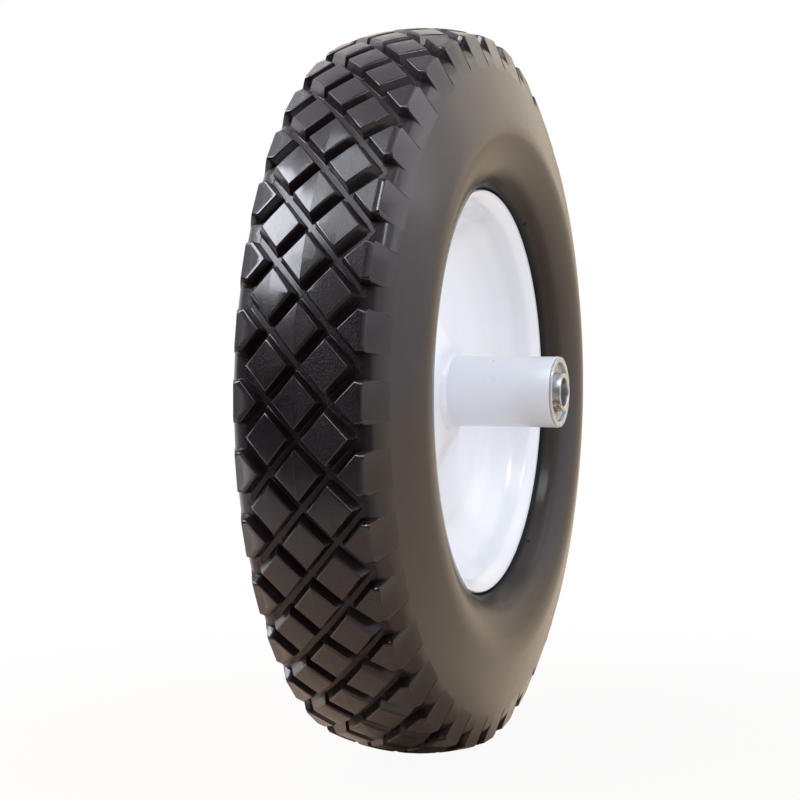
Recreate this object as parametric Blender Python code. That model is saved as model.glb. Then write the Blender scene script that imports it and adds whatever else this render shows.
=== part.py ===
"""Wheelbarrow wheel: a one-piece flat-free tyre on a two-piece stamped rim, with a welded hub tube
and two flanged ball bearings for a 5/8 inch axle.

Metres, +Z up. The origin is the middle of the axle line, +Y runs along the axle to the left hub end.
A section point is (offset along the axle, radius). An angle turns about the axle from +X towards +Z.
"""

import math

import bmesh
import bpy
from mathutils import Matrix, Vector

MM = 0.001
INCH = 25.4 * MM
GAP = 0.3 * MM
MERGE_DISTANCE = 0.005 * MM

# Tread: rows of square blocks on a diagonal lattice, with a row of lugs along each edge
PITCHES = 36
CROWN_RADIUS = 199.5 * MM
EDGE_RADIUS = 194.2 * MM
TREAD_HALF_WIDTH = 32.7 * MM
ROW_SPACING = 15.4 * MM
TREAD_DEPTH = 5.6 * MM
GROOVE_FLOOR_HALF = 1.5 * MM
BLOCK_DRAFT = 1.9 * MM
LUG_HALF_LENGTH = 9.9 * MM
LUG_DRAFT = 1.3 * MM
LUG_FOOT_OFFSET = 39.75 * MM
LUG_FOOT_RADIUS = 176.8 * MM

# Sidewall: it leaves the lug feet straight, swells to its widest and turns in to the bead.
# A share is how far up the sidewall a point lies, from 0 at the bead to 1 at the lug feet.
SIDEWALL_STRAIGHT_OFFSET = 46.1 * MM
SIDEWALL_STRAIGHT_SHARE = 0.615
SIDEWALL_WIDEST_OFFSET = 47.9 * MM
SIDEWALL_WIDEST_SHARE = 0.429
SIDEWALL_INNER_OFFSET = 45.4 * MM
SIDEWALL_INNER_SHARE = 0.193
BEAD_SHOULDER_OFFSET = 39.8 * MM
BEAD_SHOULDER_RISE = 7.2 * MM
BEAD_CLEARANCE = 0.45 * MM
TYRE_BORE_HALF_WIDTH = 6.0 * MM

# Rim half: visible face of the stamped sheet. A rise is how much wider than the bend inside it
# each bend is, from the flat joint in the middle out to the flange edge.
RIM_SEGMENTS = 36
RIM_SHEET = 2.3 * MM
JOINT_INNER_RADIUS = 48.0 * MM
JOINT_OUTER_RADIUS = 76.5 * MM
WELL_OFFSET = 8.8 * MM
WELL_RISE = 10.7 * MM
SEAT_OFFSET = 18.0 * MM
SEAT_RISE = 8.8 * MM
FLANGE_ROOT_OFFSET = 27.8 * MM
FLANGE_ROOT_RISE = 7.2 * MM
FLANGE_EDGE_OFFSET = 31.4 * MM
FLANGE_EDGE_RISE = 7.2 * MM
HUB_PLATE_OFFSET = 11.5 * MM
HUB_PLATE_RADIUS = 26.0 * MM
HUB_HOLE_CLEARANCE = 0.4 * MM

# Hub and its two bearings
HUB_SEGMENTS = 24
HUB_LENGTH = 6.0 * INCH
TUBE_RADIUS = 19.4 * MM
BEARING_SEAT_RADIUS = 0.6875 * INCH
WELD_LENGTH = 3.2 * MM
WELD_HEIGHT = 4.0 * MM
WELD_CROWN = 0.5 * MM
AXLE_BORE_RADIUS = 0.3125 * INCH
BORE_CHAMFER = 0.5 * MM
COLLAR_RADIUS = 10.3 * MM
COLLAR_STAND_OUT = 2.5 * MM
BEARING_FLANGE = 0.9 * MM
FLANGE_STEP = 0.15 * MM
FLANGE_FACE_WIDTH = 2.9 * MM
SHIELD_RECESS = 2.0 * MM
SHIELD_THICKNESS = 0.8 * MM
SHIELD_SEAT = 0.7 * MM
SHIELD_COLLAR_GAP = 0.45 * MM
BALLS_PER_BEARING = 12
BALL_RADIUS = 0.125 * INCH
BALL_COLUMNS = 6
BALL_ROWS = 4
RACE_CLEARANCE = 0.33 * MM
OUTER_RACE_CLEARANCE = 0.43 * MM
RACE_LIP = 1.0 * MM
RACE_SHOULDER = 2.2 * MM
BALL_END_ROOM = 0.7 * MM

HALF_PITCH = math.pi / PITCHES
CROWN_DROP = CROWN_RADIUS - EDGE_RADIUS
CROWN_ARC = (TREAD_HALF_WIDTH**2 + CROWN_DROP**2) / (2 * CROWN_DROP)
RIM_JOINT_FACE = RIM_SHEET + GAP / 2
WELL_RADIUS = JOINT_OUTER_RADIUS + WELL_RISE
SEAT_RADIUS = WELL_RADIUS + SEAT_RISE
FLANGE_ROOT_RADIUS = SEAT_RADIUS + FLANGE_ROOT_RISE
FLANGE_EDGE_RADIUS = FLANGE_ROOT_RADIUS + FLANGE_EDGE_RISE
BEAD_SHOULDER_RADIUS = FLANGE_EDGE_RADIUS + BEAD_SHOULDER_RISE
SIDEWALL_HEIGHT = LUG_FOOT_RADIUS - BEAD_SHOULDER_RADIUS
SIDEWALL_STRAIGHT_RADIUS = BEAD_SHOULDER_RADIUS + SIDEWALL_STRAIGHT_SHARE * SIDEWALL_HEIGHT
SIDEWALL_WIDEST_RADIUS = BEAD_SHOULDER_RADIUS + SIDEWALL_WIDEST_SHARE * SIDEWALL_HEIGHT
SIDEWALL_INNER_RADIUS = BEAD_SHOULDER_RADIUS + SIDEWALL_INNER_SHARE * SIDEWALL_HEIGHT
HUB_HOLE_RADIUS = TUBE_RADIUS + HUB_HOLE_CLEARANCE

COLLAR_END = HUB_LENGTH / 2
FLANGE_FACE = COLLAR_END - COLLAR_STAND_OUT
TUBE_END = FLANGE_FACE - BEARING_FLANGE - GAP
RING_RADIUS = BEARING_SEAT_RADIUS - GAP
BEARING_FLANGE_RADIUS = TUBE_RADIUS - FLANGE_STEP
RECESS_RADIUS = BEARING_FLANGE_RADIUS - FLANGE_FACE_WIDTH
SHIELD_FACE = FLANGE_FACE - SHIELD_RECESS
SHIELD_BACK = SHIELD_FACE - SHIELD_THICKNESS
BALL_OFFSET = SHIELD_BACK - BALL_END_ROOM - BALL_RADIUS
BALL_PITCH_RADIUS = COLLAR_RADIUS - RACE_LIP + RACE_CLEARANCE + BALL_RADIUS
OUTER_RACE_RADIUS = BALL_PITCH_RADIUS + BALL_RADIUS + OUTER_RACE_CLEARANCE
RING_BACK = BALL_OFFSET - BALL_RADIUS - BALL_END_ROOM - SHIELD_THICKNESS


def clear_scene():
    for item in list(bpy.data.objects):
        bpy.data.objects.remove(item, do_unlink=True)


def material(name, colour, roughness, metallic=0.0):
    made = bpy.data.materials.new(name)
    made.use_nodes = True
    shader = made.node_tree.nodes["Principled BSDF"]
    shader.inputs["Base Color"].default_value = (*colour, 1.0)
    shader.inputs["Roughness"].default_value = roughness
    shader.inputs["Metallic"].default_value = metallic
    return made


def node(name, bm, finish, smooth_angle=32.0):
    """Turns a bmesh into one named object with its material, shaded smooth up to a fold."""
    bmesh.ops.remove_doubles(bm, verts=bm.verts, dist=MERGE_DISTANCE)
    bmesh.ops.recalc_face_normals(bm, faces=bm.faces)
    mesh = bpy.data.meshes.new(name)
    bm.to_mesh(mesh)
    bm.free()
    mesh.materials.append(finish)
    mesh.shade_smooth()
    mesh.set_sharp_from_angle(angle=math.radians(smooth_angle))
    made = bpy.data.objects.new(name, mesh)
    bpy.context.scene.collection.objects.link(made)
    return made


def at(offset, radius, angle=0.0):
    return Vector((radius * math.cos(angle), offset, radius * math.sin(angle)))


def section_of(point):
    return point.y, math.hypot(point.x, point.z), math.atan2(point.z, point.x)


def turned(section, segments):
    """A closed section spun once about the axle."""
    bm = bmesh.new()
    ring = [bm.verts.new(at(offset, radius)) for offset, radius in section]
    edges = [bm.edges.new((a, b)) for a, b in zip(ring, ring[1:] + ring[:1])]
    bmesh.ops.spin(
        bm,
        geom=ring + edges,
        cent=(0, 0, 0),
        axis=(0, 1, 0),
        angle=2 * math.pi,
        steps=segments,
        use_merge=True,
    )
    return bm


def offset_path(path, distance):
    """The path moved sideways by a distance, with mitred corners: the other face of a sheet."""
    normals = []
    for (s0, r0), (s1, r1) in zip(path, path[1:]):
        length = math.hypot(s1 - s0, r1 - r0)
        normals.append(((r1 - r0) / length, (s0 - s1) / length))
    moved = []
    for index, (s, r) in enumerate(path):
        before = normals[max(index - 1, 0)]
        after = normals[min(index, len(normals) - 1)]
        scale = distance / (1 + before[0] * after[0] + before[1] * after[1])
        moved.append((s + scale * (before[0] + after[0]), r + scale * (before[1] + after[1])))
    return moved


def mirrored(section, side):
    return [(side * offset, radius) for offset, radius in section]


# Rim


def rim_face():
    """The visible face of a rim half, from the flange edge to the hub hole."""
    return [
        (FLANGE_EDGE_OFFSET, FLANGE_EDGE_RADIUS),
        (FLANGE_ROOT_OFFSET, FLANGE_ROOT_RADIUS),
        (SEAT_OFFSET, SEAT_RADIUS),
        (WELL_OFFSET, WELL_RADIUS),
        (RIM_JOINT_FACE, JOINT_OUTER_RADIUS),
        (RIM_JOINT_FACE, JOINT_INNER_RADIUS),
        (HUB_PLATE_OFFSET, HUB_PLATE_RADIUS),
        (HUB_PLATE_OFFSET, HUB_HOLE_RADIUS),
    ]


def rim_half(name, side, finish):
    face = rim_face()
    section = face + offset_path(face, RIM_SHEET)[::-1]
    node(name, turned(mirrored(section, side), RIM_SEGMENTS), finish)


# Tyre


def crown(offset):
    """Radius of the tread's top surface."""
    return CROWN_RADIUS - CROWN_ARC + math.sqrt(CROWN_ARC**2 - offset**2)


def tread_floor(offset):
    return crown(offset) - TREAD_DEPTH


def groove_run(distance):
    """How far along the axle a lattice corner moves when its two sides step in by a distance."""
    half_pitch_length = CROWN_RADIUS * HALF_PITCH
    return distance * math.hypot(ROW_SPACING, half_pitch_length) / half_pitch_length


def lug_slant(start, reach):
    """Offset at which a lug's slanting side, begun at its inner tip, reaches a half length."""
    return start + reach * ROW_SPACING / (CROWN_RADIUS * HALF_PITCH)


def shoulder_turn():
    """Middle of the rounded shoulder between the lugs: groove floor and sidewall run into it."""
    start = (2 * ROW_SPACING, tread_floor(2 * ROW_SPACING))
    end = (LUG_FOOT_OFFSET, LUG_FOOT_RADIUS)
    floor_fall = math.tan(math.asin(start[0] / CROWN_ARC))
    wall_fall = (end[1] - SIDEWALL_STRAIGHT_RADIUS) / (SIDEWALL_STRAIGHT_OFFSET - end[0])
    rise = start[1] - end[1] + floor_fall * start[0] - wall_fall * end[0]
    corner = rise / (floor_fall - wall_fall)
    peak = start[1] - floor_fall * (corner - start[0])
    return (
        (start[0] + 2 * corner + end[0]) / 4,
        (start[1] + 2 * peak + end[1]) / 4,
    )


def add_face(bm, side, points):
    """One face from (offset, radius, angle) points, mirrored to the other side of the tread."""
    if side < 0:
        points = [(-s, r, a) for s, r, a in reversed(points)]
    return bm.faces.new([bm.verts.new(at(*point)) for point in points])


def raise_block(bm, base):
    """A block on a lattice cell: flat groove floor round it, drafted walls and a top on the crown."""
    base.normal_update()
    bmesh.ops.inset_individual(bm, faces=[base], thickness=GROOVE_FLOOR_HALF, use_even_offset=True)
    bmesh.ops.inset_individual(
        bm, faces=[base], thickness=BLOCK_DRAFT, depth=TREAD_DEPTH, use_even_offset=True
    )
    for vert in base.verts:
        offset, _, angle = section_of(vert.co)
        vert.co = at(offset, crown(offset), angle)
    return base


def centre_block(bm):
    """The middle block, which the mould line folds along its centre."""
    cell = [
        (0, tread_floor(0), HALF_PITCH),
        (ROW_SPACING, tread_floor(ROW_SPACING), 0),
        (0, tread_floor(0), -HALF_PITCH),
        (-ROW_SPACING, tread_floor(ROW_SPACING), 0),
    ]
    top = raise_block(bm, add_face(bm, 1, cell))
    for vert in bmesh.ops.poke(bm, faces=[top])["verts"]:
        vert.co = at(0, CROWN_RADIUS)


def inner_block(bm, side):
    cell = [
        (0, tread_floor(0), HALF_PITCH),
        (ROW_SPACING, tread_floor(ROW_SPACING), 2 * HALF_PITCH),
        (2 * ROW_SPACING, tread_floor(2 * ROW_SPACING), HALF_PITCH),
        (ROW_SPACING, tread_floor(ROW_SPACING), 0),
    ]
    raise_block(bm, add_face(bm, side, cell))


def edge_lug(bm, side):
    """A lug on the tread's edge, its flat outer face run down the shoulder, and the gap beside it."""
    lug_angle = LUG_HALF_LENGTH / EDGE_RADIUS
    foot_angle = (LUG_HALF_LENGTH + LUG_DRAFT) / EDGE_RADIUS
    turn_angle = (lug_angle + foot_angle) / 2
    foot_tip = ROW_SPACING + groove_run(GROOVE_FLOOR_HALF)
    top_tip = ROW_SPACING + groove_run(GROOVE_FLOOR_HALF + BLOCK_DRAFT)
    foot_corner = lug_slant(foot_tip, LUG_HALF_LENGTH + LUG_DRAFT)
    top_corner = lug_slant(top_tip, LUG_HALF_LENGTH)
    turn_offset, turn_radius = shoulder_turn()

    tip = (ROW_SPACING, tread_floor(ROW_SPACING), 0)
    foot = (foot_tip, tread_floor(foot_tip), 0)
    top = (top_tip, crown(top_tip), 0)

    def both(offset, radius, angle):
        return (offset, radius, angle), (offset, radius, -angle)

    cell_up, cell_down = both(2 * ROW_SPACING, tread_floor(2 * ROW_SPACING), HALF_PITCH)
    foot_up, foot_down = both(foot_corner, tread_floor(foot_corner), foot_angle)
    top_up, top_down = both(top_corner, crown(top_corner), lug_angle)
    edge_up, edge_down = both(TREAD_HALF_WIDTH, EDGE_RADIUS, lug_angle)
    turn_up, turn_down = both(turn_offset, turn_radius, turn_angle)
    out_up, out_down = both(LUG_FOOT_OFFSET, LUG_FOOT_RADIUS, lug_angle)

    def on_next_lug(point):
        return point[0], point[1], 2 * HALF_PITCH + point[2]

    faces = [
        [top, top_up, edge_up, edge_down, top_down],
        [edge_up, out_up, out_down, edge_down],
        [top, foot, foot_up, top_up],
        [top_down, foot_down, foot, top],
        [top_up, foot_up, turn_up, edge_up],
        [edge_up, turn_up, out_up],
        [edge_down, turn_down, foot_down, top_down],
        [out_down, turn_down, edge_down],
        [tip, cell_up, foot_up, foot],
        [foot, foot_down, cell_down, tip],
        [cell_up, on_next_lug(foot_down), foot_up],
        [foot_up, on_next_lug(foot_down), on_next_lug(turn_down), turn_up],
        [turn_up, on_next_lug(turn_down), on_next_lug(out_down), out_up],
    ]
    for points in faces:
        add_face(bm, side, points)


def tread(bm):
    """One pitch of the tread, copied round the axle."""
    centre_block(bm)
    for side in (1, -1):
        inner_block(bm, side)
        edge_lug(bm, side)
    bmesh.ops.spin(
        bm,
        geom=bm.verts[:] + bm.edges[:] + bm.faces[:],
        cent=(0, 0, 0),
        axis=(0, 1, 0),
        angle=2 * math.pi - 2 * HALF_PITCH,
        steps=PITCHES - 1,
        use_duplicate=True,
    )
    bmesh.ops.remove_doubles(bm, verts=bm.verts, dist=MERGE_DISTANCE)


def bead_path():
    """The sidewall below the lugs, the groove round the rim flange and the bore that the rim fills."""
    back = offset_path(rim_face(), RIM_SHEET + BEAD_CLEARANCE)
    flange_tip, flange_root, seat, well = back[:4]
    return [
        (SIDEWALL_STRAIGHT_OFFSET, SIDEWALL_STRAIGHT_RADIUS),
        (SIDEWALL_WIDEST_OFFSET, SIDEWALL_WIDEST_RADIUS),
        (SIDEWALL_INNER_OFFSET, SIDEWALL_INNER_RADIUS),
        (BEAD_SHOULDER_OFFSET, BEAD_SHOULDER_RADIUS),
        (flange_tip[0], flange_tip[1] + BEAD_CLEARANCE),
        flange_root,
        seat,
        (min(well[0], TYRE_BORE_HALF_WIDTH), well[1]),
    ]


def draw_out(bm, ring, offset, radius):
    """Extrudes a ring of edges and sets the new ring to its place on the section."""
    made = bmesh.ops.extrude_edge_only(bm, edges=ring)["geom"]
    for vert in (item for item in made if isinstance(item, bmesh.types.BMVert)):
        vert.co = at(offset, radius, section_of(vert.co)[2])
    return [item for item in made if isinstance(item, bmesh.types.BMEdge) and item.is_boundary]


def tyre(finish):
    bm = bmesh.new()
    tread(bm)
    rims = []
    for side in (1, -1):
        ring = [
            edge
            for edge in bm.edges
            if edge.is_boundary and all(side * vert.co.y > 0 for vert in edge.verts)
        ]
        for offset, radius in bead_path():
            ring = draw_out(bm, ring, side * offset, radius)
        rims += ring
    bmesh.ops.bridge_loops(bm, edges=rims)
    node("tyre", bm, finish, smooth_angle=12.0)


# Hub


def hub_tube(finish):
    section = [
        (TUBE_END, TUBE_RADIUS),
        (TUBE_END, BEARING_SEAT_RADIUS),
        (-TUBE_END, BEARING_SEAT_RADIUS),
        (-TUBE_END, TUBE_RADIUS),
    ]
    node("hub_tube", turned(section, HUB_SEGMENTS), finish)


def weld_bead(name, side, finish):
    root_offset = HUB_PLATE_OFFSET + GAP
    root_radius = TUBE_RADIUS + GAP
    section = [
        (root_offset, root_radius),
        (root_offset, root_radius + WELD_HEIGHT),
        (root_offset + WELD_LENGTH / 2 + WELD_CROWN, root_radius + WELD_HEIGHT / 2 + WELD_CROWN),
        (root_offset + WELD_LENGTH, root_radius),
    ]
    node(name, turned(mirrored(section, side), HUB_SEGMENTS), finish)


def outer_ring(name, side, finish):
    """The flanged ring in the tube's end, with the shield's recess and the ball race."""
    seat_radius = RECESS_RADIUS - SHIELD_SEAT
    section = [
        (FLANGE_FACE, BEARING_FLANGE_RADIUS),
        (FLANGE_FACE, RECESS_RADIUS),
        (SHIELD_BACK - GAP, RECESS_RADIUS),
        (SHIELD_BACK - GAP, seat_radius),
        (BALL_OFFSET + RACE_SHOULDER, seat_radius),
        (BALL_OFFSET + RACE_SHOULDER / 2, OUTER_RACE_RADIUS),
        (BALL_OFFSET - RACE_SHOULDER / 2, OUTER_RACE_RADIUS),
        (BALL_OFFSET - RACE_SHOULDER, seat_radius),
        (RING_BACK, seat_radius),
        (RING_BACK, RING_RADIUS),
        (FLANGE_FACE - BEARING_FLANGE, RING_RADIUS),
        (FLANGE_FACE - BEARING_FLANGE, BEARING_FLANGE_RADIUS),
    ]
    node(name, turned(mirrored(section, side), HUB_SEGMENTS), finish)


def inner_ring(name, side, finish):
    """The ring on the axle, with its race and the collar that stands out of the hub."""
    race_radius = COLLAR_RADIUS - RACE_LIP
    section = [
        (COLLAR_END, AXLE_BORE_RADIUS + BORE_CHAMFER),
        (COLLAR_END, COLLAR_RADIUS),
        (BALL_OFFSET + RACE_SHOULDER, COLLAR_RADIUS),
        (BALL_OFFSET + RACE_SHOULDER / 2, race_radius),
        (BALL_OFFSET - RACE_SHOULDER / 2, race_radius),
        (BALL_OFFSET - RACE_SHOULDER, COLLAR_RADIUS),
        (RING_BACK, COLLAR_RADIUS),
        (RING_BACK, AXLE_BORE_RADIUS),
        (COLLAR_END - BORE_CHAMFER, AXLE_BORE_RADIUS),
    ]
    node(name, turned(mirrored(section, side), HUB_SEGMENTS), finish)


def bearing_shield(name, side, finish):
    inner = COLLAR_RADIUS + SHIELD_COLLAR_GAP
    outer = RECESS_RADIUS - GAP
    section = [
        (SHIELD_FACE, inner),
        (SHIELD_FACE, outer),
        (SHIELD_BACK, outer),
        (SHIELD_BACK, inner),
    ]
    node(name, turned(mirrored(section, side), HUB_SEGMENTS), finish)


def balls(side_name, side, finish):
    for index in range(BALLS_PER_BEARING):
        angle = 2 * math.pi * index / BALLS_PER_BEARING
        bm = bmesh.new()
        bmesh.ops.create_uvsphere(
            bm, u_segments=BALL_COLUMNS, v_segments=BALL_ROWS, radius=BALL_RADIUS
        )
        ball = node(f"ball_{side_name}_{index + 1:02d}", bm, finish, smooth_angle=180.0)
        place = Matrix.Translation(at(side * BALL_OFFSET, BALL_PITCH_RADIUS, angle))
        ball.matrix_world = place @ Matrix.Rotation(-angle, 4, "Y")


def main():
    clear_scene()
    rubber = material("moulded_polyurethane", (0.045, 0.042, 0.041), 0.48)
    white = material("white_enamel", (0.80, 0.81, 0.85), 0.25)
    zinc = material("zinc_plated_steel", (0.70, 0.69, 0.64), 0.36, 1.0)
    steel = material("polished_steel", (0.62, 0.63, 0.64), 0.18, 1.0)
    tyre(rubber)
    hub_tube(white)
    for side_name, side in (("left", 1), ("right", -1)):
        rim_half(f"rim_half_{side_name}", side, white)
        weld_bead(f"weld_bead_{side_name}", side, white)
        outer_ring(f"bearing_outer_ring_{side_name}", side, zinc)
        inner_ring(f"bearing_inner_ring_{side_name}", side, zinc)
        bearing_shield(f"bearing_shield_{side_name}", side, zinc)
        balls(side_name, side, steel)


main()
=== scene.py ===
"""Wheelbarrow wheel, dressed for the picture: fine tread, enamelled rim and zinc bearings.

Metres. +Y runs along the axle to the left hub end, which the camera sees, and +Z is up.
A section point is (offset along the axle, radius, rounding). An angle runs from +X towards +Z.
"""

import math

import bmesh
import bpy
from mathutils import Matrix, Vector, noise


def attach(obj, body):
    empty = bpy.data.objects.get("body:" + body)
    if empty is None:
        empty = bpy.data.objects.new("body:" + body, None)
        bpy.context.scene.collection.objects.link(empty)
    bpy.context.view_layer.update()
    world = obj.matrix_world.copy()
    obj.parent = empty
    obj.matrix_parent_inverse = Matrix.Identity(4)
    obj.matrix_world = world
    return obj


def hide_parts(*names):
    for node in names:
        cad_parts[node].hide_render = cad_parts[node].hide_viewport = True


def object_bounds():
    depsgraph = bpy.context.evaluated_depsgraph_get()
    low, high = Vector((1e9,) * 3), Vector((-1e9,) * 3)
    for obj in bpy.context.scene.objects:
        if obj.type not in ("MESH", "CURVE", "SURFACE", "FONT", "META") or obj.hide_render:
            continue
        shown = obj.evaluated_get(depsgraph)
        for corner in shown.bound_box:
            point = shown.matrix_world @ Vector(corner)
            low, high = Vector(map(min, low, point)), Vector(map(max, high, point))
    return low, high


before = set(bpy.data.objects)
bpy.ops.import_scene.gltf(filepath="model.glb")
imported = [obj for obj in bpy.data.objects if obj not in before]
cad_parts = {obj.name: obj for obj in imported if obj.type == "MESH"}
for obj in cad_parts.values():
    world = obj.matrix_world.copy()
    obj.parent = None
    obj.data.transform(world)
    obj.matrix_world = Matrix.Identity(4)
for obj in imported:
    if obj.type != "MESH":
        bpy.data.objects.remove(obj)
cad_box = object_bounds()

MM = 0.001
INCH = 25.4 * MM
SIDES = (("left", 1), ("right", -1))

# How near counts as touching
CLOSE = 0.01 * MM
TREAD_MERGE = 0.005 * MM
PIECE_MERGE = 0.004 * MM

# Tread
PITCHES = 36
HALF_PITCH = math.pi / PITCHES
CROWN_RADIUS = 199.5 * MM
EDGE_RADIUS = 194.2 * MM
TREAD_HALF_WIDTH = 32.7 * MM
ROW_SPACING = 15.4 * MM
TREAD_DEPTH = 5.6 * MM
GROOVE_FLOOR_HALF = 1.5 * MM
BLOCK_DRAFT = 1.9 * MM
BLOCK_EDGE = 0.75 * MM
GROOVE_FILLET = 0.55 * MM
LUG_CORNER = 1.5 * MM
LUG_HALF_LENGTH = 9.9 * MM
LUG_DRAFT = 1.3 * MM
LUG_FOOT_OFFSET = 39.75 * MM
LUG_FOOT_RADIUS = 176.8 * MM
CROWN_DROP = CROWN_RADIUS - EDGE_RADIUS
CROWN_ARC = (TREAD_HALF_WIDTH**2 + CROWN_DROP**2) / (2 * CROWN_DROP)
CROWN_FALL = 4.83  # the crown's fall per square of the offset, close to 1 / (2 * CROWN_ARC)
ARCH_CUTS = (-24, -20, -15.4, -11, -5.5, 5.5, 11, 15.4, 20, 24)  # in mm along the axle

# Sidewall and bead
SIDEWALL_STRAIGHT_OFFSET = 46.1 * MM
SIDEWALL_STRAIGHT_RADIUS = 154.0 * MM
PIP_OFFSET = 35.0 * MM
PIP_LINE_RADIUS = 113.9 * MM
PIP_ANGLES = (-127.9, -106.6, -88.7, -71.9, 123.1)

# Rim: bends of the dish's visible face, each as offset and radius
RIM_SHEET = 2.3 * MM
FLANGE_TIP = (31.6 * MM, 110.6 * MM)
FLANGE_ROOT = (27.6 * MM, 102.6 * MM)
BEAD_SEAT = (18.2 * MM, 97.0 * MM)
WELL_BEND = (9.2 * MM, 87.6 * MM)
WEB_OFFSET = 2.6 * MM
PLATE_OFFSET = 11.5 * MM

# Hub and bearings
HUB_END = 3.0 * INCH
TUBE_RADIUS = 19.4 * MM
BEARING_SEAT_RADIUS = 0.6875 * INCH
FLANGE_FACE = HUB_END - 2.5 * MM
FLANGE_THICKNESS = 0.9 * MM
TUBE_END = FLANGE_FACE - FLANGE_THICKNESS - 0.3 * MM
FLANGE_RADIUS = TUBE_RADIUS - 0.15 * MM
RECESS_RADIUS = FLANGE_RADIUS - 2.9 * MM
SHIELD_FACE = FLANGE_FACE - 2.0 * MM
SHIELD_BACK = SHIELD_FACE - 0.8 * MM
BALL_RADIUS = 0.125 * INCH
BALL_OFFSET = SHIELD_BACK - 0.7 * MM - BALL_RADIUS
RING_BACK = BALL_OFFSET - BALL_RADIUS - 1.5 * MM
COLLAR_RADIUS = 10.3 * MM
AXLE_BORE_RADIUS = 0.3125 * INCH
BALL_PITCH_RADIUS = COLLAR_RADIUS - 0.67 * MM + BALL_RADIUS
RACE_HALF_WIDTH = 2.2 * MM
RACE_FLOOR_HALF = 1.1 * MM
DENT_OFFSET = 39.7 * MM
DENT_ANGLE = math.radians(21)
DENT_RADIUS = 2.5 * MM
DENT_DEPTH = 0.36 * MM
DENT_LIP = 0.11 * MM
DENT_CUTS = 28
DENT_CUT_STEP = 0.35 * MM
WELD_RIPPLES = 29
DRIP_ANGLE = math.radians(-97)

# How many flats each turned piece has
DISH_FLATS = 216
TUBE_FLATS = 128
WELD_FLATS = 240
RING_FLATS = 96

# Camera
CAMERA_TURN = math.radians(19.06)
CAMERA_RISE = math.radians(1.67)
CAMERA_DISTANCE = 1.1163

# Studio: name, place, width, height, power, tone, and whether the object mirrors it
LIGHTS = (
    ("front_window", (0.755, -0.966, 1.03), 1.20, 0.75, 37.0, (0.88, 0.91, 1.0), True),
    ("ceiling_glow", (0.74, -0.13, 1.30), 0.95, 0.92, 11.0, (0.90, 0.94, 1.0), True),
    ("side_window", (0.30, 1.19, 1.03), 0.24, 0.34, 4.4, (0.88, 0.94, 1.0), True),
    ("side_glow", (-0.655, 1.135, 0.918), 0.86, 1.10, 3.9, (0.93, 0.91, 1.0), True),
    ("back_glow", (-1.50, 0.42, 0.60), 1.0, 0.7, 0.8, (1.0, 0.84, 0.68), True),
    ("front_fill", (1.40, 1.12, 0.16), 1.2, 1.2, 12.3, (0.95, 0.97, 1.0), False),
    ("side_fill", (-0.30, 1.70, -0.10), 1.2, 0.2, 3.5, (0.95, 0.97, 1.0), False),
)


# Finishes


class Flow:
    """A number or colour on its way through a shader; sums on it add Math nodes."""

    def __init__(self, finish, socket):
        self.finish = finish
        self.socket = socket

    def sum_with(self, operation, first, second):
        return self.finish.node("ShaderNodeMath", {"operation": operation}, first, second)

    def __add__(self, other):
        return self.sum_with("ADD", self, other)

    __radd__ = __add__

    def __sub__(self, other):
        return self.sum_with("SUBTRACT", self, other)

    def __rsub__(self, other):
        return self.sum_with("SUBTRACT", other, self)

    def __mul__(self, other):
        return self.sum_with("MULTIPLY", self, other)

    __rmul__ = __mul__

    def __pow__(self, other):
        return self.sum_with("POWER", self, other)


class Finish:
    """A shader tree with one method that adds any node."""

    def __init__(self, owner):
        owner.use_nodes = True
        self.owner = owner
        self.tree = owner.node_tree

    def node(self, kind, settings=None, *values, output=0, **named):
        made = self.tree.nodes.new(kind)
        for key, value in (settings or {}).items():
            setattr(made, key, value)
        for key, value in [*enumerate(values), *named.items()]:
            if value is not None:
                socket = key if isinstance(key, int) else key.replace("_", " ")
                self.feed(made.inputs[socket], value)
        return Flow(self, made.outputs[output])

    def feed(self, socket, value):
        if isinstance(value, Flow):
            self.tree.links.new(value.socket, socket)
        else:
            socket.default_value = value

    def blend(self, factor, first, second):
        mixer = {"data_type": "RGBA"}
        made = self.node("ShaderNodeMix", mixer, factor, output=2)
        target = made.socket.node
        for socket, value in ((target.inputs[6], first), (target.inputs[7], second)):
            self.feed(socket, value if isinstance(value, Flow) else (*value, 1.0))
        return made

    def rise(self, value, low, high):
        """0 below low and 1 above high, smooth between; turned round if low is the larger."""
        smooth = {"interpolation_type": "SMOOTHSTEP"}
        if low < high:
            return self.node("ShaderNodeMapRange", smooth, value, low, high, 0.0, 1.0)
        return self.node("ShaderNodeMapRange", smooth, value, high, low, 1.0, 0.0)

    def place(self):
        return self.node("ShaderNodeTexCoord", None, output=3)

    def axes(self, place):
        split = self.node("ShaderNodeSeparateXYZ", None, place)
        return [Flow(self, split.socket.node.outputs[index]) for index in range(3)]

    def grain(self, place, scale, detail, distortion=0.0):
        return self.node(
            "ShaderNodeTexNoise",
            None,
            Vector=place,
            Scale=scale,
            Detail=detail,
            Roughness=0.55,
            Distortion=distortion,
        )

    def bump(self, height, distance, strength, normal=None):
        return self.node(
            "ShaderNodeBump",
            None,
            Strength=strength,
            Distance=distance,
            Height=height,
            Normal=normal,
        )

    def surface(self, **inputs):
        shader = self.tree.nodes["Principled BSDF"]
        for key, value in inputs.items():
            self.feed(shader.inputs[key.replace("_", " ")], value)
        return self.owner


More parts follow.
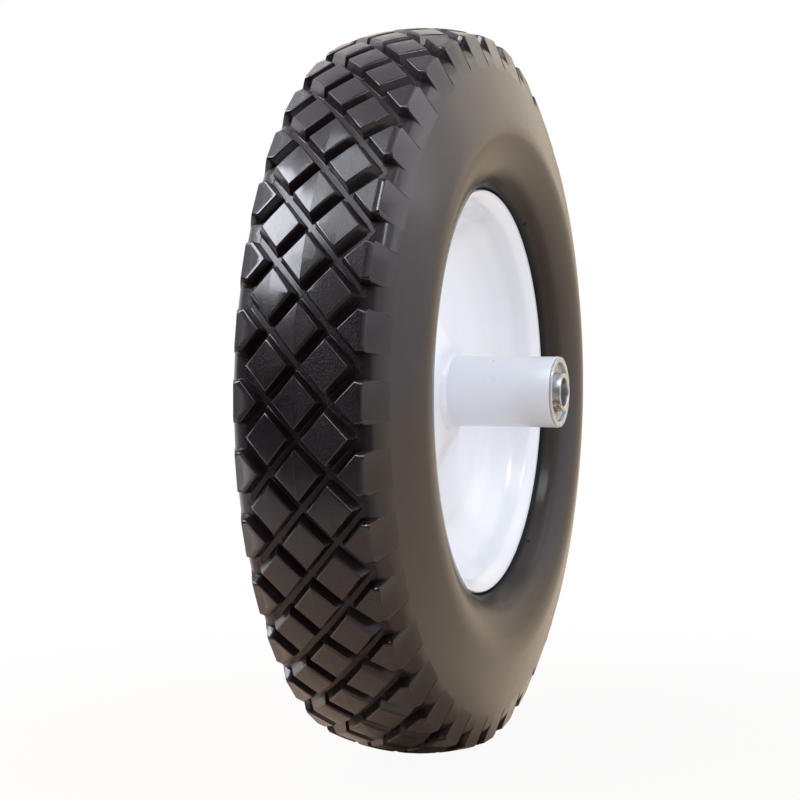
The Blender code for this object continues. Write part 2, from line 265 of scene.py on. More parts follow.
def moulded_polyurethane():
    """Dark foam skin: leathery and glossy on the tread, smoother and dustier on the sides, with
    painted light on the bead shoulder and painted shade on the lip beside the rim.
    """
    made = Finish(bpy.data.materials.new("moulded_polyurethane_skin"))
    place = made.place()
    across, along, up = made.axes(place)
    radius = (across * across + up * up) ** 0.5
    offset = made.node("ShaderNodeMath", {"operation": "ABSOLUTE"}, along)
    wall = made.rise(offset + (0.196 - radius) * 0.35, 0.0330, 0.0350)
    crinkle = made.grain(place, 620.0, 4.0, 0.2)
    pores = made.grain(place, 1500.0, 2.0)
    cloud = made.grain(place, 42.0, 3.0)
    dust = made.rise(cloud, 0.40, 0.72)
    seam = made.rise(offset, 0.00045, 0.0001)
    # Painted shade: a near-black band on the lip beside the rim flange, where the gap between them
    # lies in shade.
    bead = made.rise(radius, 0.1142, 0.1127)
    shoulder = made.rise(radius, 0.1250, 0.1165)
    # Painted light: a lighter, warmer tone on the bead shoulder, lifting the shade of that hollow.
    painted_shoulder_light = made.rise(radius, 0.1270, 0.1165) * 0.85
    below_crown = CROWN_RADIUS - offset * offset * CROWN_FALL - radius
    groove = made.rise(below_crown, 0.0036, 0.0050) * (1.0 - wall)
    tread_tone = made.blend(dust, (0.0058, 0.0018, 0.0030), (0.0084, 0.0036, 0.0048))
    wall_tone = made.blend(dust, (0.0125, 0.0090, 0.0100), (0.0172, 0.0130, 0.0118))
    tone = made.blend(wall, tread_tone, wall_tone)
    # Painted light on the bead shoulder.
    tone = made.blend(painted_shoulder_light, tone, (0.031, 0.0240, 0.0205))
    # Painted shade on the lip beside the flange.
    tone = made.blend(bead * 0.9, tone, (0.010, 0.010, 0.012))
    pip = 0.0
    for turn in PIP_ANGLES:
        for side in (1, -1):
            spot = tuple(at(side * PIP_OFFSET, PIP_LINE_RADIUS, math.radians(turn)))
            gap = {"operation": "DISTANCE"}
            away = made.node("ShaderNodeVectorMath", gap, place, spot, output=1)
            pip = made.rise(away, 0.0012, 0.0008) + pip
    tone = made.blend(pip, tone, (0.002, 0.002, 0.002))
    leather = 0.30 + 0.70 * made.rise(along, -0.016, 0.022)
    rough = 0.34 + 0.10 * crinkle * leather + 0.10 * wall + 0.12 * shoulder + 0.04 * dust
    depth = (0.40 * crinkle + 0.45 * pores - 0.425) * leather * (1.0 - 0.97 * wall)
    coat = (1.0 - 0.25 * wall - 0.48 * groove) * (1.0 - 0.75 * shoulder) * (1.0 - pip)
    relief = made.bump(depth, 0.0018, 0.9)
    relief = made.bump(seam, 0.0002, 0.9, relief)
    return made.surface(
        Base_Color=tone,
        Roughness=rough,
        Normal=relief,
        Specular_IOR_Level=0.17,
        Coat_Weight=coat,
        Coat_Roughness=0.19,
    )


def white_enamel():
    """Sprayed enamel under a thin gloss, with a faint orange peel and a few dust specks."""
    made = Finish(bpy.data.materials.new("white_enamel_paint"))
    place = made.place()
    peel = made.grain(place, 260.0, 2.0)
    cloud = made.grain(place, 22.0, 2.0)
    specks = made.node("ShaderNodeTexVoronoi", {"feature": "F1"}, Vector=place, Scale=95.0)
    chosen = made.grain(place, 40.0, 0.0)
    speck = made.rise(specks, 0.055, 0.035) * made.rise(chosen, 0.60, 0.64)
    tone = made.blend(cloud, (0.79, 0.825, 0.89), (0.82, 0.85, 0.905))
    tone = made.blend(speck * 0.55, tone, (0.22, 0.20, 0.18))
    relief = made.bump(peel, 0.00012, 0.35)
    rough = 0.26 + 0.06 * cloud
    return made.surface(Base_Color=tone, Roughness=rough, Normal=relief, Coat_Weight=0.4)


def zinc_plate(name, tone, rough, grease_reach):
    """Dull zinc with turning marks, and brown grease low down on the camera's side."""
    made = Finish(bpy.data.materials.new(name))
    place = made.place()
    across, along, up = made.axes(place)
    radius = (across * across + up * up) ** 0.5
    turning = made.node("ShaderNodeCombineXYZ", None, radius * 9000.0, along * 9000.0, 0.0)
    marks = made.grain(turning, 1.0, 2.0)
    cloud = made.grain(place, 260.0, 3.0)
    mottle = made.rise(cloud, 0.35, 0.7)
    shade = made.blend(mottle, tone, tuple(0.72 * value for value in tone))
    low = made.rise(across * 0.60 - up, 0.0078, 0.0105)
    clot = low * made.rise(made.grain(place, 600.0, 3.0), 0.44, 0.56)
    clot = clot * made.rise(radius, 0.0128, 0.0112) * made.rise(along, 0.0, 0.01)
    grease = clot * grease_reach
    shade = made.blend(grease, shade, (0.24, 0.10, 0.04))
    relief = made.bump(marks, 0.00004, 0.4)
    relief = made.bump(cloud, 0.0001, 0.3, relief)
    return made.surface(
        Base_Color=shade,
        Roughness=rough + 0.16 * mottle + 0.2 * grease,
        Metallic=1.0 - 0.95 * grease,
        Normal=relief,
    )


def ball_steel():
    made = Finish(bpy.data.materials.new("ball_steel"))
    place = made.place()
    film = made.grain(place, 700.0, 2.0)
    tone = made.blend(film, (0.60, 0.61, 0.62), (0.50, 0.47, 0.40))
    return made.surface(Base_Color=tone, Roughness=0.12 + 0.2 * film, Metallic=1.0)


# Shapes


def at(offset, radius, angle=0.0):
    return Vector((radius * math.cos(angle), offset, radius * math.sin(angle)))


def section_of(point):
    return point.y, math.hypot(point.x, point.z), math.atan2(point.z, point.x)


def eased(section, steps, closed=False):
    """Section points with each corner turned into a short curve, as long as its rounding."""
    corners = [Vector(point[:2]) for point in section]
    count = len(corners)
    line = []
    for index, corner in enumerate(corners):
        rounding = section[index][2] if len(section[index]) > 2 else 0.0
        if rounding == 0 or (not closed and index in (0, count - 1)):
            line.append(tuple(corner))
            continue
        before = corners[index - 1] - corner
        after = corners[(index + 1) % count] - corner
        start = corner + before * min(rounding / before.length, 0.499)
        end = corner + after * min(rounding / after.length, 0.499)
        for step in range(steps + 1):
            t = step / steps
            line.append(tuple(start * (1 - t) ** 2 + corner * (2 * t * (1 - t)) + end * t**2))
    return line


def offset_line(line, distance):
    """The line moved sideways, with mitred corners: the other face of a sheet."""
    normals = []
    for (s0, r0), (s1, r1) in zip(line, line[1:]):
        length = math.hypot(s1 - s0, r1 - r0)
        normals.append(Vector(((r1 - r0) / length, (s0 - s1) / length)))
    moved = []
    for index, point in enumerate(line):
        before = normals[max(index - 1, 0)]
        after = normals[min(index, len(normals) - 1)]
        moved.append(tuple(Vector(point) + (before + after) * distance / (1 + before.dot(after))))
    return moved


def turned(line, side, flats):
    """A closed line of section points spun once about the axle."""
    bm = bmesh.new()
    ring = [bm.verts.new(at(side * offset, radius)) for offset, radius in line]
    edges = [bm.edges.new(pair) for pair in zip(ring, ring[1:] + ring[:1])]
    bmesh.ops.spin(
        bm,
        geom=ring + edges,
        cent=(0, 0, 0),
        axis=(0, 1, 0),
        angle=2 * math.pi,
        steps=flats,
        use_merge=True,
    )
    return bm


def piece(name, bm, finish, slot, body, *nodes, sharp=40.0):
    """One finished object that rides on a body and stands for its frame nodes."""
    bmesh.ops.remove_doubles(bm, verts=bm.verts, dist=PIECE_MERGE)
    bmesh.ops.recalc_face_normals(bm, faces=bm.faces)
    mesh = bpy.data.meshes.new(name)
    bm.to_mesh(mesh)
    bm.free()
    mesh.materials.append(finish)
    mesh.shade_smooth()
    mesh.set_sharp_from_angle(angle=math.radians(sharp))
    made = bpy.data.objects.new(name, mesh)
    bpy.context.scene.collection.objects.link(made)
    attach(made, body)
    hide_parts(*nodes)
    return made


# Tyre


def crown(offset):
    return CROWN_RADIUS - CROWN_ARC + math.sqrt(CROWN_ARC**2 - offset**2)


def tread_floor(offset):
    return crown(offset) - TREAD_DEPTH


def groove_run(distance):
    """How far along the axle a lattice corner moves when its two sides step in by a distance."""
    half_pitch_length = CROWN_RADIUS * HALF_PITCH
    return distance * math.hypot(ROW_SPACING, half_pitch_length) / half_pitch_length


def lug_slant(start, reach):
    """The offset that a lattice line from a start has come to, a reach round the tread."""
    return start + reach * ROW_SPACING / (CROWN_RADIUS * HALF_PITCH)


def add_face(bm, side, points):
    if side < 0:
        points = [(-s, r, a) for s, r, a in reversed(points)]
    return bm.faces.new([bm.verts.new(at(*point)) for point in points])


def round_edges(bm, edges, width, segments=3):
    bmesh.ops.bevel(
        bm,
        geom=edges,
        offset=width,
        segments=segments,
        profile=0.5,
        affect="EDGES",
        clamp_overlap=False,
        material=-1,
    )


def raise_block(bm, base):
    """A block on a lattice cell: groove floor, drafted walls, a crowned top and eased edges."""
    middle = section_of(base.calc_center_median())
    base.normal_update()
    bmesh.ops.inset_individual(bm, faces=[base], thickness=GROOVE_FLOOR_HALF, use_even_offset=True)
    bmesh.ops.inset_individual(
        bm, faces=[base], thickness=BLOCK_DRAFT, depth=TREAD_DEPTH, use_even_offset=True
    )
    tips = list(base.verts)
    rim = list(base.edges)
    corners = [edge for tip in tips for edge in tip.link_edges if edge not in rim]
    feet = {edge.other_vert(tip) for tip in tips for edge in tip.link_edges if edge in corners}
    foot = {edge for vert in feet for edge in vert.link_edges if feet.issuperset(edge.verts)}
    for tip in tips:
        offset, _, angle = section_of(tip.co)
        tip.co = at(offset, crown(offset), angle)
    for vert in bmesh.ops.poke(bm, faces=[base])["verts"]:
        vert.co = at(middle[0], crown(middle[0]), middle[2])
    round_edges(bm, list(foot), GROOVE_FILLET, 2)
    round_edges(bm, [edge for edge in rim + corners if edge.is_valid], BLOCK_EDGE)


def arch_tops(bm):
    """Cuts along the block tops, so that they follow the crown and fold a little at the crest."""
    for cut in ARCH_CUTS:
        tops = {
            face
            for face in bm.faces
            if all(section_of(vert.co)[1] > crown(vert.co.y) - 0.12 * MM for vert in face.verts)
        }
        around = {edge for face in tops for edge in face.edges}
        ends = {vert for face in tops for vert in face.verts}
        made = bmesh.ops.bisect_plane(
            bm,
            geom=list(tops) + list(around) + list(ends),
            dist=CLOSE,
            plane_co=(0, cut * MM, 0),
            plane_no=(0, 1, 0),
        )["geom_cut"]
        for vert in (item for item in made if isinstance(item, bmesh.types.BMVert)):
            offset, radius, angle = section_of(vert.co)
            if radius > crown(offset) - 0.35 * MM:
                vert.co = at(offset, max(radius, crown(offset) - 0.02 * MM), angle)


def gap_line():
    """The floor between two lugs, from the groove over the shoulder to the sidewall."""
    start = Vector((2 * ROW_SPACING, tread_floor(2 * ROW_SPACING)))
    end = Vector((LUG_FOOT_OFFSET, LUG_FOOT_RADIUS))
    floor_fall = math.tan(math.asin(start.x / CROWN_ARC))
    wall_run = SIDEWALL_STRAIGHT_OFFSET - LUG_FOOT_OFFSET
    wall_fall = (LUG_FOOT_RADIUS - SIDEWALL_STRAIGHT_RADIUS) / wall_run
    rise = start.y - end.y + floor_fall * start.x - wall_fall * end.x
    corner_offset = rise / (floor_fall - wall_fall)
    corner = Vector((corner_offset, start.y - floor_fall * (corner_offset - start.x)))
    steps = 6
    return [
        start * (1 - t) ** 2 + corner * (2 * t * (1 - t)) + end * t**2
        for t in (step / steps for step in range(1, steps))
    ]


def edge_lug(bm, side):
    """A lug on the tread's edge, its flat outer face, and the curved gap beside it."""
    lug_angle = LUG_HALF_LENGTH / EDGE_RADIUS
    foot_angle = (LUG_HALF_LENGTH + LUG_DRAFT) / EDGE_RADIUS
    foot_tip = ROW_SPACING + groove_run(GROOVE_FLOOR_HALF)
    top_tip = ROW_SPACING + groove_run(GROOVE_FLOOR_HALF + BLOCK_DRAFT)
    foot_corner = lug_slant(foot_tip, LUG_HALF_LENGTH + LUG_DRAFT)
    top_corner = lug_slant(top_tip, LUG_HALF_LENGTH)

    def both(offset, radius, angle):
        return (offset, radius, angle), (offset, radius, -angle)

    def on_next_lug(point):
        return point[0], point[1], 2 * HALF_PITCH + point[2]

    tip = (ROW_SPACING, tread_floor(ROW_SPACING), 0)
    foot = (foot_tip, tread_floor(foot_tip), 0)
    top = (top_tip, crown(top_tip), 0)
    cell_up, cell_down = both(2 * ROW_SPACING, tread_floor(2 * ROW_SPACING), HALF_PITCH)
    foot_up, foot_down = both(foot_corner, tread_floor(foot_corner), foot_angle)
    top_up, top_down = both(top_corner, crown(top_corner), lug_angle)
    edge_up, edge_down = both(TREAD_HALF_WIDTH, EDGE_RADIUS, lug_angle - LUG_CORNER / EDGE_RADIUS)
    out_up, out_down = both(LUG_FOOT_OFFSET, LUG_FOOT_RADIUS, lug_angle)
    turns = gap_line()
    inward = (turns[2] - Vector((TREAD_HALF_WIDTH, EDGE_RADIUS))).normalized() * LUG_CORNER
    side_angle = lug_angle + 0.2 * LUG_CORNER / EDGE_RADIUS
    side_up, side_down = both(TREAD_HALF_WIDTH + inward.x, EDGE_RADIUS + inward.y, side_angle)
    shares = [(index + 1) / (len(turns) + 1) for index in range(len(turns))]
    angles = [foot_angle + (lug_angle - foot_angle) * share for share in shares]
    over = [both(point.x, point.y, angle) for point, angle in zip(turns, angles)]

    crest = add_face(bm, side, [top, top_up, edge_up, edge_down, top_down])
    add_face(bm, side, [edge_up, out_up, out_down, edge_down])
    add_face(bm, side, [top, foot, foot_up, top_up])
    add_face(bm, side, [top_down, foot_down, foot, top])
    add_face(bm, side, [tip, cell_up, foot_up, foot])
    add_face(bm, side, [foot, foot_down, cell_down, tip])
    add_face(bm, side, [cell_up, on_next_lug(foot_down), foot_up])
    ups = [foot_up] + [pair[0] for pair in over] + [out_up]
    downs = [foot_down] + [pair[1] for pair in over] + [out_down]
    for near, far in zip(zip(ups, downs), zip(ups[1:], downs[1:])):
        face = [near[0], on_next_lug(near[1]), on_next_lug(far[1])]
        add_face(bm, side, face + [far[0]])
    for near, far in zip(ups, ups[1:]):
        add_face(bm, side, [side_up, near, far])
    for near, far in zip(downs, downs[1:]):
        add_face(bm, side, [side_down, far, near])
    for corner_edge, corner_side, crest_end, foot_end, out_end in (
        (edge_up, side_up, top_up, foot_up, out_up),
        (edge_down, side_down, top_down, foot_down, out_down),
    ):
        faces = [
            [crest_end, foot_end, corner_side],
            [crest_end, corner_side, corner_edge],
            [corner_edge, corner_side, out_end],
        ]
        for points in faces:
            add_face(bm, side, points if corner_edge is edge_up else points[::-1])
    return crest


def tread_pitch(bm):
    """One pitch: the folded middle block, one each side of it, and two lugs with their gaps."""
    cells = []
    for side in (0, 1, -1):
        turn = HALF_PITCH if side else 0.0
        middle = side * ROW_SPACING
        cells.append(
            [
                (middle, tread_floor(middle), turn + HALF_PITCH),
                (middle + ROW_SPACING, tread_floor(middle + ROW_SPACING), turn),
                (middle, tread_floor(middle), turn - HALF_PITCH),
                (middle - ROW_SPACING, tread_floor(middle - ROW_SPACING), turn),
            ]
        )
    for cell in cells:
        raise_block(bm, add_face(bm, 1, cell))
    arch_tops(bm)
    crests = [edge_lug(bm, side) for side in (1, -1)]
    bmesh.ops.remove_doubles(bm, verts=bm.verts, dist=TREAD_MERGE)
    edges = set()
    for crest in crests:
        for edge in crest.edges:
            if min(abs(vert.co.y) for vert in edge.verts) < TREAD_HALF_WIDTH - CLOSE:
                edges.add(edge)
    round_edges(bm, list(edges), BLOCK_EDGE)


def bead_line(flange_back):
    """Sidewall below the lugs, bead shoulder, lip beside the rim flange, and the bore."""
    tip, root, seat, well = flange_back
    clear = 0.35 * MM
    return eased(
        [
            (LUG_FOOT_OFFSET, LUG_FOOT_RADIUS),
            (SIDEWALL_STRAIGHT_OFFSET, SIDEWALL_STRAIGHT_RADIUS, 10 * MM),
            (48.6 * MM, 142.0 * MM, 10 * MM),
            (45.6 * MM, 129.0 * MM, 8 * MM),
            (40.2 * MM, 117.6 * MM, 3.5 * MM),
            (33.0 * MM, 112.6 * MM, 1.0 * MM),
            (31.2 * MM, 112.1 * MM, 0.5 * MM),
            (tip[0] - clear, tip[1] + 2 * clear, 0.4 * MM),
            (root[0] - clear, root[1] + clear, 1.0 * MM),
            (seat[0] - clear, seat[1] + clear, 1.0 * MM),
            (6.0 * MM, well[1] + clear),
        ],
        steps=7,
    )[1:]


def draw_out(bm, ring, offset, radius):
    """The open edge drawn out to a new ring; its new edges are given back."""
    made = bmesh.ops.extrude_edge_only(bm, edges=ring)["geom"]
    for vert in (item for item in made if isinstance(item, bmesh.types.BMVert)):
        vert.co = at(offset, radius, section_of(vert.co)[2])
    return [item for item in made if isinstance(item, bmesh.types.BMEdge) and item.is_boundary]


def crisp_edges(mesh):
    """The fold over the crest, the tread's two shoulders and the lugs' feet stay crisp."""
    for edge in mesh.edges:
        ends = [mesh.vertices[index].co for index in edge.vertices]
        on_crest = all(abs(end.y) < CLOSE and section_of(end)[1] > 199 * MM for end in ends)
        on_shoulder = all(abs(abs(end.y) - TREAD_HALF_WIDTH) < CLOSE for end in ends)
        on_foot = all(abs(section_of(end)[1] - LUG_FOOT_RADIUS) < CLOSE for end in ends)
        turn = section_of((ends[0] + ends[1]) / 2)[2]
        from_lug = abs((turn + HALF_PITCH) % (2 * HALF_PITCH) - HALF_PITCH)
        on_lug_foot = on_foot and from_lug < LUG_HALF_LENGTH / EDGE_RADIUS
        if on_crest or on_shoulder or on_lug_foot:
            edge.use_edge_sharp = True


def tyre(finish, flange_back):
    bm = bmesh.new()
    tread_pitch(bm)
    bmesh.ops.spin(
        bm,
        geom=bm.verts[:] + bm.edges[:] + bm.faces[:],
        cent=(0, 0, 0),
        axis=(0, 1, 0),
        angle=2 * math.pi - 2 * HALF_PITCH,
        steps=PITCHES - 1,
        use_duplicate=True,
    )
    bmesh.ops.remove_doubles(bm, verts=bm.verts, dist=TREAD_MERGE)
    open_ends = []
    for side in (1, -1):
        foot = [
            edge
            for edge in bm.edges
            if edge.is_boundary and all(side * vert.co.y > 0 for vert in edge.verts)
        ]
        bmesh.ops.subdivide_edges(bm, edges=foot, cuts=2)
        ring = [
            edge
            for edge in bm.edges
            if edge.is_boundary and all(side * vert.co.y > 0 for vert in edge.verts)
        ]
        for vert in {vert for edge in ring for vert in edge.verts}:
            vert.co = at(side * LUG_FOOT_OFFSET, LUG_FOOT_RADIUS, section_of(vert.co)[2])
        for offset, radius in bead_line(flange_back):
            ring = draw_out(bm, ring, side * offset, radius)
        open_ends += ring
    bmesh.ops.bridge_loops(bm, edges=open_ends)
    made = piece("tyre_moulding", bm, finish, "moulded_polyurethane", "wheel", "tyre", sharp=50.0)
    crisp_edges(made.data)
    flat = made.modifiers.new("flat_faces", "WEIGHTED_NORMAL")
    flat.keep_sharp = True


# Rim


def dish_line():
    """The visible face of a rim half, from its flange edge in to the hub."""
    return eased(
        [
            FLANGE_TIP,
            (30.6 * MM, 107.6 * MM, 1.4 * MM),
            (*FLANGE_ROOT, 2.2 * MM),
            (*BEAD_SEAT, 3.0 * MM),
            (*WELL_BEND, 3.0 * MM),
            (WEB_OFFSET, 76.0 * MM, 6.0 * MM),
            (WEB_OFFSET, 47.0 * MM, 9.0 * MM),
            (PLATE_OFFSET, 26.5 * MM, 3.5 * MM),
            (PLATE_OFFSET, 19.8 * MM),
        ],
        steps=7,
    )


def rim_dish(name, side, finish, node):
    face = dish_line()
    back = offset_line(face, RIM_SHEET)
    edge = 0.7 * MM
    line = [(s, r) for s, r in face] + [(s, r) for s, r in reversed(back)]
    line[0:1] = eased([face[1], (*face[0], edge), back[0]], steps=4)[1:-1]
    line[-1:] = eased([face[0], (*back[0], edge), back[1]], steps=4)[1:-1]
    piece(name, turned(line, side, DISH_FLATS), finish, "white_enamel", "wheel", node)


# Hub


def hub_sleeve(finish):
    """The hub tube with its eased ends and the small round dent on the camera's side."""
    line = eased(
        [
            (TUBE_END, TUBE_RADIUS, 0.4 * MM),
            (TUBE_END, BEARING_SEAT_RADIUS, 0.2 * MM),
            (-TUBE_END, BEARING_SEAT_RADIUS, 0.2 * MM),
            (-TUBE_END, TUBE_RADIUS, 0.4 * MM),
        ],
        closed=True,
        steps=3,
    )
    bm = turned(line, 1, TUBE_FLATS)
    dent = at(DENT_OFFSET, TUBE_RADIUS, DENT_ANGLE)
    for step in range(DENT_CUTS):
        cut = dent.y + (step - (DENT_CUTS - 1) / 2) * DENT_CUT_STEP
        whole = bm.verts[:] + bm.edges[:] + bm.faces[:]
        bmesh.ops.bisect_plane(bm, geom=whole, plane_co=(0, cut, 0), plane_no=(0, 1, 0))
    for vert in bm.verts:
        away = (vert.co - dent).length / DENT_RADIUS
        if away < 1.6 and section_of(vert.co)[1] > BEARING_SEAT_RADIUS + 0.5 * MM:
            sunk = DENT_DEPTH * math.exp(-((away * 1.15) ** 4))
            raised = DENT_LIP * math.exp(-(((away - 1.15) / 0.22) ** 2))
            vert.co -= Vector((vert.co.x, 0, vert.co.z)).normalized() * (sunk - raised)
    piece("hub_sleeve", bm, finish, "white_enamel", "wheel", "hub_tube")


def weld_fillet(name, side, finish, node):
    """A hand-run weld bead under the enamel, soft ripples on it and one drip low down."""
    sink = 0.35 * MM
    toe_offset = PLATE_OFFSET - sink
    toe_radius = TUBE_RADIUS - sink
    line = eased(
        [
            (toe_offset, toe_radius),
            (toe_offset, toe_radius + 3.6 * MM, 0.2 * MM),
            (toe_offset + 0.7 * MM, toe_radius + 3.1 * MM, 0.7 * MM),
            (toe_offset + 2.3 * MM, toe_radius + 2.0 * MM, 1.8 * MM),
            (toe_offset + 3.1 * MM, toe_radius + 0.6 * MM, 0.7 * MM),
            (toe_offset + 3.6 * MM, toe_radius, 0.2 * MM),
        ],
        closed=True,
        steps=4,
    )
    bm = turned(line, side, WELD_FLATS)
    for vert in bm.verts:
        offset, radius, angle = section_of(vert.co)
        swell = (radius - toe_radius) + (abs(offset) - toe_offset)
        ripple = 0.10 * math.sin(WELD_RIPPLES * angle + 1.4 * math.sin(3 * angle))
        lump = 0.50 * noise.noise(Vector((2.6 * math.cos(angle), 2.6 * math.sin(angle), side)))
        drip = 0.9 * math.exp(-(((angle - DRIP_ANGLE) / 0.09) ** 2))
        grown = (ripple + lump + drip) * MM * min(swell / (3 * MM), 1.0) * 0.5
        vert.co = at(side * (abs(offset) + grown * 0.6), radius + grown, angle)
    piece(name, bm, finish, "white_enamel", "wheel", node, sharp=60.0)


def race_outer(name, side, finish, node):
    seat = RECESS_RADIUS - 0.7 * MM
    race = BALL_PITCH_RADIUS + BALL_RADIUS + 0.43 * MM
    line = eased(
        [
            (FLANGE_FACE, FLANGE_RADIUS, 0.35 * MM),
            (FLANGE_FACE, RECESS_RADIUS, 0.3 * MM),
            (SHIELD_BACK - 0.3 * MM, RECESS_RADIUS, 0.1 * MM),
            (SHIELD_BACK - 0.3 * MM, seat, 0.2 * MM),
            (BALL_OFFSET + RACE_HALF_WIDTH, seat, 0.2 * MM),
            (BALL_OFFSET + RACE_FLOOR_HALF, race, 0.8 * MM),
            (BALL_OFFSET - RACE_FLOOR_HALF, race, 0.8 * MM),
            (BALL_OFFSET - RACE_HALF_WIDTH, seat, 0.2 * MM),
            (RING_BACK, seat, 0.3 * MM),
            (RING_BACK, BEARING_SEAT_RADIUS - 0.3 * MM, 0.4 * MM),
            (FLANGE_FACE - FLANGE_THICKNESS, BEARING_SEAT_RADIUS - 0.3 * MM, 0.1 * MM),
            (FLANGE_FACE - FLANGE_THICKNESS, FLANGE_RADIUS, 0.3 * MM),
        ],
        closed=True,
        steps=3,
    )
    piece(name, turned(line, side, RING_FLATS), finish, "zinc_plated_steel", "wheel", node)


def race_inner(name, side, finish, node, body):
    race = COLLAR_RADIUS - 1.0 * MM
    line = eased(
        [
            (HUB_END, AXLE_BORE_RADIUS + 0.5 * MM, 0.12 * MM),
            (HUB_END, COLLAR_RADIUS, 0.35 * MM),
            (BALL_OFFSET + RACE_HALF_WIDTH, COLLAR_RADIUS, 0.2 * MM),
            (BALL_OFFSET + RACE_FLOOR_HALF, race, 0.8 * MM),
            (BALL_OFFSET - RACE_FLOOR_HALF, race, 0.8 * MM),
            (BALL_OFFSET - RACE_HALF_WIDTH, COLLAR_RADIUS, 0.2 * MM),
            (RING_BACK, COLLAR_RADIUS, 0.3 * MM),
            (RING_BACK, AXLE_BORE_RADIUS, 0.3 * MM),
            (HUB_END - 0.5 * MM, AXLE_BORE_RADIUS, 0.12 * MM),
        ],
        closed=True,
        steps=3,
    )
    piece(name, turned(line, side, RING_FLATS), finish, "zinc_plated_steel", body, node)


def dust_shield(name, side, finish, node):
    """The pressed shield: a flat washer with a shallow step near its outer edge."""
    inner = COLLAR_RADIUS + 0.45 * MM
    outer = RECESS_RADIUS - 0.3 * MM
    face = eased(
        [
            (SHIELD_FACE, outer),
            (SHIELD_FACE, outer - 0.9 * MM, 0.2 * MM),
            (SHIELD_FACE - 0.25 * MM, outer - 1.2 * MM, 0.2 * MM),
            (SHIELD_FACE - 0.25 * MM, inner, 0.2 * MM),
        ],
        steps=3,
    )
    line = face + [(SHIELD_BACK, inner), (SHIELD_BACK, outer)]
    piece(name, turned(line, side, RING_FLATS), finish, "zinc_plated_steel", "wheel", node)


def bearing_balls(side_name, side, finish, nodes):
    for index, node in enumerate(nodes):
        bm = bmesh.new()
        bmesh.ops.create_uvsphere(bm, u_segments=20, v_segments=12, radius=BALL_RADIUS)
        angle = 2 * math.pi * index / len(nodes)
        place = Matrix.Translation(at(side * BALL_OFFSET, BALL_PITCH_RADIUS, angle))
        bmesh.ops.transform(bm, matrix=place, verts=bm.verts)
        name = f"race_ball_{side_name}_{index + 1:02d}"
        body = f"ball_set_{side_name}"
        piece(name, bm, finish, "polished_steel", body, node, sharp=180.0)


# Studio


def soft_light(name, place, width, height, power, tone, mirrored):
    lamp = bpy.data.lights.new(name, "AREA")
    lamp.shape = "RECTANGLE"
    lamp.size = width
    lamp.size_y = height
    lamp.energy = power
    lamp.color = tone
    made = bpy.data.objects.new(name, lamp)
    made.location = place
    made.rotation_euler = (-Vector(place)).to_track_quat("-Z", "Y").to_euler()
    made.visible_camera = False
    made.visible_glossy = mirrored
    bpy.context.scene.collection.objects.link(made)


def white_surround():
    """White all round, warmer in reflections, with the studio's dark end behind the camera."""
    made = Finish(bpy.data.worlds.new("white_surround"))
    bpy.context.scene.world = made.owner
    path = made.node("ShaderNodeLightPath").socket.node.outputs
    camera = Flow(made, path["Is Camera Ray"])
    mirrored = Flow(made, path["Is Glossy Ray"]) + Flow(made, path["Is Transmission Ray"])
    facing = made.node("ShaderNodeTexCoord", None, output=0)
    across, along, up = made.axes(facing)
    room = made.rise(across * 0.95 - along * 0.22 - up * 0.45, -0.45, 0.40)
    above = made.rise(up, 0.30, 0.75)
    shown = camera + (1.0 - camera) * mirrored * (1.0 - room) * (1.0 - above)
    level = (0.74 - 0.71 * room) * (1.0 - 0.14 * above)
    strength = shown + (1.0 - shown) * level
    back = made.tree.nodes["Background"]
    made.feed(back.inputs["Strength"], strength)
    warm = made.blend(made.rise(up, 0.02, 0.45), (0.78, 0.63, 0.45), (1.0, 0.93, 0.85))
    warm = made.blend(made.rise(across, -0.55, -0.92), (0.88, 0.85, 0.96), warm)
    tone = made.blend(mirrored * (1.0 - camera), (1.0, 1.0, 1.0), warm)
    made.feed(back.inputs["Color"], tone)


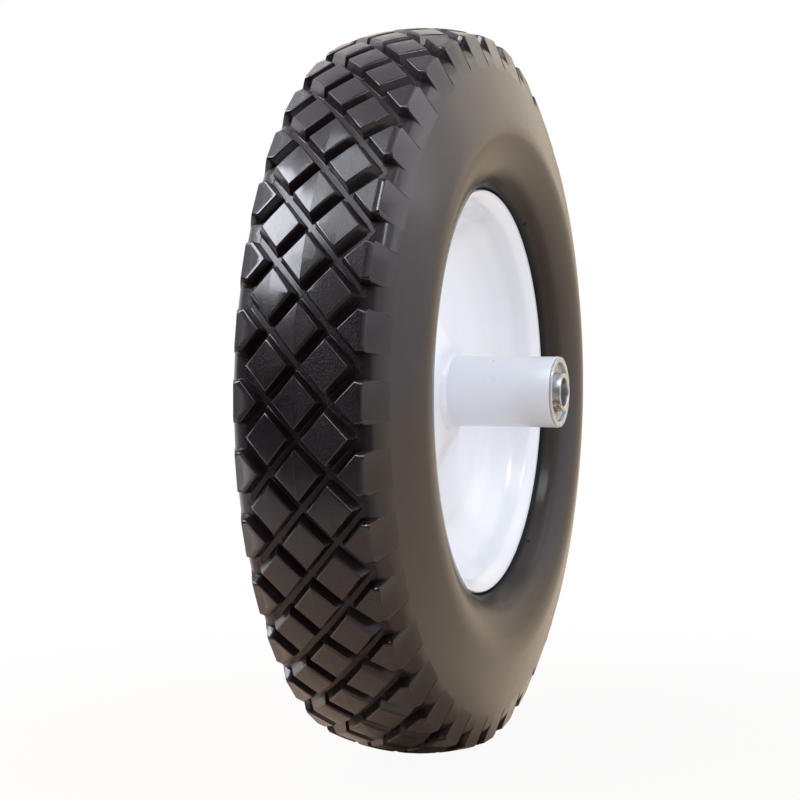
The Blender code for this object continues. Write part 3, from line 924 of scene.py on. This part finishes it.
def pale_floor():
    """White to the eye, a soft shadow below the wheel, and a warm bounce on to it."""
    made = Finish(bpy.data.materials.new("pale_floor"))
    path = made.node("ShaderNodeLightPath").socket.node.outputs
    place = made.place()
    across, along, _ = made.axes(place)
    reach = (across * across + along * along) ** 0.5
    far = made.rise(reach, 0.16, 0.70)
    camera = Flow(made, path["Is Camera Ray"])
    white = made.node("ShaderNodeEmission", None, (1.0, 1.0, 1.0, 1.0), 1.0)
    warm = made.node("ShaderNodeEmission", None, (0.92, 0.75, 0.57, 1.0), 1.0)
    glow = made.node("ShaderNodeMixShader", None, camera, warm, white)
    colour = made.blend(far, (0.46, 0.335, 0.25), (0.78, 0.76, 0.75))
    colour = made.blend(made.rise(across, 0.20, 0.62), colour, (0.04, 0.04, 0.05))
    made.surface(Base_Color=colour, Roughness=1.0, Specular_IOR_Level=0.0)
    matt = Flow(made, made.tree.nodes["Principled BSDF"].outputs["BSDF"])
    mirrored = Flow(made, path["Is Glossy Ray"]) + Flow(made, path["Is Transmission Ray"])
    behind = made.rise(along * 0.5 - across, 0.0, 0.13)
    seen = camera * (0.94 + 0.06 * far) + (1.0 - camera) * mirrored * behind
    mixed = made.node("ShaderNodeMixShader", None, seen, matt, glow)
    made.feed(made.tree.nodes["Material Output"].inputs["Surface"], mixed)
    bm = bmesh.new()
    bmesh.ops.create_grid(bm, x_segments=1, y_segments=1, size=4.0)
    bmesh.ops.translate(bm, verts=bm.verts, vec=(0, 0, cad_box[0].z))
    mesh = bpy.data.meshes.new("floor")
    bm.to_mesh(mesh)
    bm.free()
    mesh.materials.append(made.owner)
    floor = bpy.data.objects.new("floor", mesh)
    bpy.context.scene.collection.objects.link(floor)


def camera():
    lens = bpy.data.cameras.new("camera")
    lens.lens = 90.0
    lens.sensor_width = 36.0
    lens.shift_x = -0.041
    lens.shift_y = -0.0115
    lens.clip_start = 0.05
    made = bpy.data.objects.new("camera", lens)
    level = math.cos(CAMERA_RISE)
    across = math.cos(CAMERA_TURN) * level
    along = math.sin(CAMERA_TURN) * level
    away = Vector((across, along, math.sin(CAMERA_RISE)))
    made.location = away * CAMERA_DISTANCE
    made.rotation_euler = (-away).to_track_quat("-Z", "Y").to_euler()
    bpy.context.scene.collection.objects.link(made)
    bpy.context.scene.camera = made


def main():
    skin = moulded_polyurethane()
    enamel = white_enamel()
    flange_zinc = zinc_plate("flange_zinc", (0.76, 0.83, 0.87), 0.40, 0.0)
    collar_zinc = zinc_plate("collar_zinc", (0.78, 0.83, 0.86), 0.30, 0.9)
    shield_zinc = zinc_plate("shield_zinc", (0.60, 0.63, 0.61), 0.40, 1.0)
    steel = ball_steel()
    flange_back = offset_line([FLANGE_TIP, FLANGE_ROOT], RIM_SHEET)
    flange_back += offset_line([BEAD_SEAT, WELL_BEND], RIM_SHEET)
    tyre(skin, flange_back)
    hub_sleeve(enamel)
    for side_name, side in SIDES:
        rim_dish(f"rim_dish_{side_name}", side, enamel, f"rim_half_{side_name}")
        weld_fillet(f"weld_fillet_{side_name}", side, enamel, f"weld_bead_{side_name}")
        race_outer(f"race_outer_{side_name}", side, flange_zinc, f"bearing_outer_ring_{side_name}")
        inner_node = f"bearing_inner_ring_{side_name}"
        inner_body = f"axle_ring_{side_name}"
        race_inner(f"race_inner_{side_name}", side, collar_zinc, inner_node, inner_body)
        dust_shield(f"dust_shield_{side_name}", side, shield_zinc, f"bearing_shield_{side_name}")
        nodes = [f"ball_{side_name}_{index:02d}" for index in range(1, 13)]
        bearing_balls(side_name, side, steel, nodes)
    white_surround()
    pale_floor()
    for light in LIGHTS:
        soft_light(*light)
    camera()
    bpy.context.scene.view_settings.view_transform = "Standard"


main()
